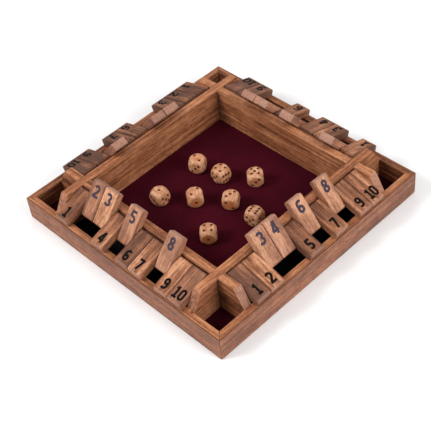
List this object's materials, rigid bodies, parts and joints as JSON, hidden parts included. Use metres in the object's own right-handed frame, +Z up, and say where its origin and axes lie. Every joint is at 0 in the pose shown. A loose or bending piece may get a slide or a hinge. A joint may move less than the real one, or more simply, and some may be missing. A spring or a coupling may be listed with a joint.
{
  "type": "shut the box game",
  "caption": "Square wooden shut the box game: felt-lined dice well, number tiles that flip on rods along every side, corner trays and rounded wooden dice.",
  "frame": {"origin": "centre of the underside of the square case", "axes": "+Z up; side a faces -Y, side b +X, side c +Y and side d -X; tiles 1 to 10 run from left to right seen from their own side"},
  "size_m": [0.28, 0.28, 0.0645],
  "materials": {
    "walnut_case": "satin oiled walnut",
    "walnut_tile": "satin oiled walnut, paler, with printed numbers",
    "dark_panel": "matt black stain on the channel floors",
    "burgundy_felt": "short felt pile",
    "steel_rod": "drawn wire rod",
    "pale_die": "sanded pale wood with dark burnt pips"
  },
  "bodies": {
    "case": {"rail_a": "walnut_case", "rail_b": "walnut_case", "rail_c": "walnut_case", "rail_d": "walnut_case", "wall_a": "walnut_case", "wall_b": "walnut_case", "wall_c": "walnut_case", "wall_d": "walnut_case", "base_panel": "dark_panel", "felt_linings": "burgundy_felt", "tile_rods": "steel_rod"},
    "tile_a01": {"tile_a01": "walnut_tile"},
    "tile_a02": {"tile_a02": "walnut_tile"},
    "tile_a03": {"tile_a03": "walnut_tile"},
    "tile_a04": {"tile_a04": "walnut_tile"},
    "tile_a05": {"tile_a05": "walnut_tile"},
    "tile_a06": {"tile_a06": "walnut_tile"},
    "tile_a07": {"tile_a07": "walnut_tile"},
    "tile_a08": {"tile_a08": "walnut_tile"},
    "tile_a09": {"tile_a09": "walnut_tile"},
    "tile_a10": {"tile_a10": "walnut_tile"},
    "tile_b01": {"tile_b01": "walnut_tile"},
    "tile_b02": {"tile_b02": "walnut_tile"},
    "tile_b03": {"tile_b03": "walnut_tile"},
    "tile_b04": {"tile_b04": "walnut_tile"},
    "tile_b05": {"tile_b05": "walnut_tile"},
    "tile_b06": {"tile_b06": "walnut_tile"},
    "tile_b07": {"tile_b07": "walnut_tile"},
    "tile_b08": {"tile_b08": "walnut_tile"},
    "tile_b09": {"tile_b09": "walnut_tile"},
    "tile_b10": {"tile_b10": "walnut_tile"},
    "tile_c01": {"tile_c01": "walnut_tile"},
    "tile_c02": {"tile_c02": "walnut_tile"},
    "tile_c03": {"tile_c03": "walnut_tile"},
    "tile_c04": {"tile_c04": "walnut_tile"},
    "tile_c05": {"tile_c05": "walnut_tile"},
    "tile_c06": {"tile_c06": "walnut_tile"},
    "tile_c07": {"tile_c07": "walnut_tile"},
    "tile_c08": {"tile_c08": "walnut_tile"},
    "tile_c09": {"tile_c09": "walnut_tile"},
    "tile_c10": {"tile_c10": "walnut_tile"},
    "tile_d01": {"tile_d01": "walnut_tile"},
    "tile_d02": {"tile_d02": "walnut_tile"},
    "tile_d03": {"tile_d03": "walnut_tile"},
    "tile_d04": {"tile_d04": "walnut_tile"},
    "tile_d05": {"tile_d05": "walnut_tile"},
    "tile_d06": {"tile_d06": "walnut_tile"},
    "tile_d07": {"tile_d07": "walnut_tile"},
    "tile_d08": {"tile_d08": "walnut_tile"},
    "tile_d09": {"tile_d09": "walnut_tile"},
    "tile_d10": {"tile_d10": "walnut_tile"},
    "die_1": {"die_1": "pale_die"},
    "die_2": {"die_2": "pale_die"},
    "die_3": {"die_3": "pale_die"},
    "die_4": {"die_4": "pale_die"},
    "die_5": {"die_5": "pale_die"},
    "die_6": {"die_6": "pale_die"},
    "die_7": {"die_7": "pale_die"},
    "die_8": {"die_8": "pale_die"}
  },
  "joints": [
    {"name": "flip_a01", "type": "hinge", "parent": "case", "child": "tile_a01", "pos_m": [-0.081, -0.1118, 0.0405], "axis": [-1, 0, 0], "range_deg": [0, 147.2]},
    {"name": "flip_a02", "type": "hinge", "parent": "case", "child": "tile_a02", "pos_m": [-0.063, -0.1118, 0.0405], "axis": [-1, 0, 0], "range_deg": [-147.2, 0]},
    {"name": "flip_a03", "type": "hinge", "parent": "case", "child": "tile_a03", "pos_m": [-0.045, -0.1118, 0.0405], "axis": [-1, 0, 0], "range_deg": [-147.2, 0]},
    {"name": "flip_a04", "type": "hinge", "parent": "case", "child": "tile_a04", "pos_m": [-0.027, -0.1118, 0.0405], "axis": [-1, 0, 0], "range_deg": [0, 147.2]},
    {"name": "flip_a05", "type": "hinge", "parent": "case", "child": "tile_a05", "pos_m": [-0.009, -0.1118, 0.0405], "axis": [-1, 0, 0], "range_deg": [-147.2, 0]},
    {"name": "flip_a06", "type": "hinge", "parent": "case", "child": "tile_a06", "pos_m": [0.009, -0.1118, 0.0405], "axis": [-1, 0, 0], "range_deg": [0, 147.2]},
    {"name": "flip_a07", "type": "hinge", "parent": "case", "child": "tile_a07", "pos_m": [0.027, -0.1118, 0.0405], "axis": [-1, 0, 0], "range_deg": [0, 147.2]},
    {"name": "flip_a08", "type": "hinge", "parent": "case", "child": "tile_a08", "pos_m": [0.045, -0.1118, 0.0405], "axis": [-1, 0, 0], "range_deg": [-147.2, 0]},
    {"name": "flip_a09", "type": "hinge", "parent": "case", "child": "tile_a09", "pos_m": [0.063, -0.1118, 0.0405], "axis": [-1, 0, 0], "range_deg": [0, 147.2]},
    {"name": "flip_a10", "type": "hinge", "parent": "case", "child": "tile_a10", "pos_m": [0.081, -0.1118, 0.0405], "axis": [-1, 0, 0], "range_deg": [0, 147.2]},
    {"name": "flip_b01", "type": "hinge", "parent": "case", "child": "tile_b01", "pos_m": [0.1118, -0.081, 0.0405], "axis": [0, -1, 0], "range_deg": [0, 147.2]},
    {"name": "flip_b02", "type": "hinge", "parent": "case", "child": "tile_b02", "pos_m": [0.1118, -0.063, 0.0405], "axis": [0, -1, 0], "range_deg": [0, 147.2]},
    {"name": "flip_b03", "type": "hinge", "parent": "case", "child": "tile_b03", "pos_m": [0.1118, -0.045, 0.0405], "axis": [0, -1, 0], "range_deg": [-147.2, 0]},
    {"name": "flip_b04", "type": "hinge", "parent": "case", "child": "tile_b04", "pos_m": [0.1118, -0.027, 0.0405], "axis": [0, -1, 0], "range_deg": [-147.2, 0]},
    {"name": "flip_b05", "type": "hinge", "parent": "case", "child": "tile_b05", "pos_m": [0.1118, -0.009, 0.0405], "axis": [0, -1, 0], "range_deg": [0, 147.2]},
    {"name": "flip_b06", "type": "hinge", "parent": "case", "child": "tile_b06", "pos_m": [0.1118, 0.009, 0.0405], "axis": [0, -1, 0], "range_deg": [-147.2, 0]},
    {"name": "flip_b07", "type": "hinge", "parent": "case", "child": "tile_b07", "pos_m": [0.1118, 0.027, 0.0405], "axis": [0, -1, 0], "range_deg": [0, 147.2]},
    {"name": "flip_b08", "type": "hinge", "parent": "case", "child": "tile_b08", "pos_m": [0.1118, 0.045, 0.0405], "axis": [0, -1, 0], "range_deg": [-147.2, 0]},
    {"name": "flip_b09", "type": "hinge", "parent": "case", "child": "tile_b09", "pos_m": [0.1118, 0.063, 0.0405], "axis": [0, -1, 0], "range_deg": [0, 147.2]},
    {"name": "flip_b10", "type": "hinge", "parent": "case", "child": "tile_b10", "pos_m": [0.1118, 0.081, 0.0405], "axis": [0, -1, 0], "range_deg": [0, 147.2]},
    {"name": "flip_c01", "type": "hinge", "parent": "case", "child": "tile_c01", "pos_m": [0.081, 0.1118, 0.0405], "axis": [1, 0, 0], "range_deg": [0, 147.2]},
    {"name": "flip_c02", "type": "hinge", "parent": "case", "child": "tile_c02", "pos_m": [0.063, 0.1118, 0.0405], "axis": [1, 0, 0], "range_deg": [-147.2, 0]},
    {"name": "flip_c03", "type": "hinge", "parent": "case", "child": "tile_c03", "pos_m": [0.045, 0.1118, 0.0405], "axis": [1, 0, 0], "range_deg": [0, 147.2]},
    {"name": "flip_c04", "type": "hinge", "parent": "case", "child": "tile_c04", "pos_m": [0.027, 0.1118, 0.0405], "axis": [1, 0, 0], "range_deg": [0, 147.2]},
    {"name": "flip_c05", "type": "hinge", "parent": "case", "child": "tile_c05", "pos_m": [0.009, 0.1118, 0.0405], "axis": [1, 0, 0], "range_deg": [-147.2, 0]},
    {"name": "flip_c06", "type": "hinge", "parent": "case", "child": "tile_c06", "pos_m": [-0.009, 0.1118, 0.0405], "axis": [1, 0, 0], "range_deg": [0, 147.2]},
    {"name": "flip_c07", "type": "hinge", "parent": "case", "child": "tile_c07", "pos_m": [-0.027, 0.1118, 0.0405], "axis": [1, 0, 0], "range_deg": [-147.2, 0]},
    {"name": "flip_c08", "type": "hinge", "parent": "case", "child": "tile_c08", "pos_m": [-0.045, 0.1118, 0.0405], "axis": [1, 0, 0], "range_deg": [-147.2, 0]},
    {"name": "flip_c09", "type": "hinge", "parent": "case", "child": "tile_c09", "pos_m": [-0.063, 0.1118, 0.0405], "axis": [1, 0, 0], "range_deg": [0, 147.2]},
    {"name": "flip_c10", "type": "hinge", "parent": "case", "child": "tile_c10", "pos_m": [-0.081, 0.1118, 0.0405], "axis": [1, 0, 0], "range_deg": [0, 147.2]},
    {"name": "flip_d01", "type": "hinge", "parent": "case", "child": "tile_d01", "pos_m": [-0.1118, 0.081, 0.0405], "axis": [0, 1, 0], "range_deg": [0, 147.2]},
    {"name": "flip_d02", "type": "hinge", "parent": "case", "child": "tile_d02", "pos_m": [-0.1118, 0.063, 0.0405], "axis": [0, 1, 0], "range_deg": [0, 147.2]},
    {"name": "flip_d03", "type": "hinge", "parent": "case", "child": "tile_d03", "pos_m": [-0.1118, 0.045, 0.0405], "axis": [0, 1, 0], "range_deg": [0, 147.2]},
    {"name": "flip_d04", "type": "hinge", "parent": "case", "child": "tile_d04", "pos_m": [-0.1118, 0.027, 0.0405], "axis": [0, 1, 0], "range_deg": [-147.2, 0]},
    {"name": "flip_d05", "type": "hinge", "parent": "case", "child": "tile_d05", "pos_m": [-0.1118, 0.009, 0.0405], "axis": [0, 1, 0], "range_deg": [-147.2, 0]},
    {"name": "flip_d06", "type": "hinge", "parent": "case", "child": "tile_d06", "pos_m": [-0.1118, -0.009, 0.0405], "axis": [0, 1, 0], "range_deg": [0, 147.2]},
    {"name": "flip_d07", "type": "hinge", "parent": "case", "child": "tile_d07", "pos_m": [-0.1118, -0.027, 0.0405], "axis": [0, 1, 0], "range_deg": [0, 147.2]},
    {"name": "flip_d08", "type": "hinge", "parent": "case", "child": "tile_d08", "pos_m": [-0.1118, -0.045, 0.0405], "axis": [0, 1, 0], "range_deg": [-147.2, 0]},
    {"name": "flip_d09", "type": "hinge", "parent": "case", "child": "tile_d09", "pos_m": [-0.1118, -0.063, 0.0405], "axis": [0, 1, 0], "range_deg": [0, 147.2]},
    {"name": "flip_d10", "type": "hinge", "parent": "case", "child": "tile_d10", "pos_m": [-0.1118, -0.081, 0.0405], "axis": [0, 1, 0], "range_deg": [0, 147.2]},
    {"name": "lift_die_1", "type": "slide", "parent": "case", "child": "die_1", "axis": [0, 0, 1], "range_m": [0, 0.045]},
    {"name": "lift_die_2", "type": "slide", "parent": "case", "child": "die_2", "axis": [0, 0, 1], "range_m": [0, 0.045]},
    {"name": "lift_die_3", "type": "slide", "parent": "case", "child": "die_3", "axis": [0, 0, 1], "range_m": [0, 0.045]},
    {"name": "lift_die_4", "type": "slide", "parent": "case", "child": "die_4", "axis": [0, 0, 1], "range_m": [0, 0.045]},
    {"name": "lift_die_5", "type": "slide", "parent": "case", "child": "die_5", "axis": [0, 0, 1], "range_m": [0, 0.045]},
    {"name": "lift_die_6", "type": "slide", "parent": "case", "child": "die_6", "axis": [0, 0, 1], "range_m": [0, 0.045]},
    {"name": "lift_die_7", "type": "slide", "parent": "case", "child": "die_7", "axis": [0, 0, 1], "range_m": [0, 0.045]},
    {"name": "lift_die_8", "type": "slide", "parent": "case", "child": "die_8", "axis": [0, 0, 1], "range_m": [0, 0.045]}
  ]
}
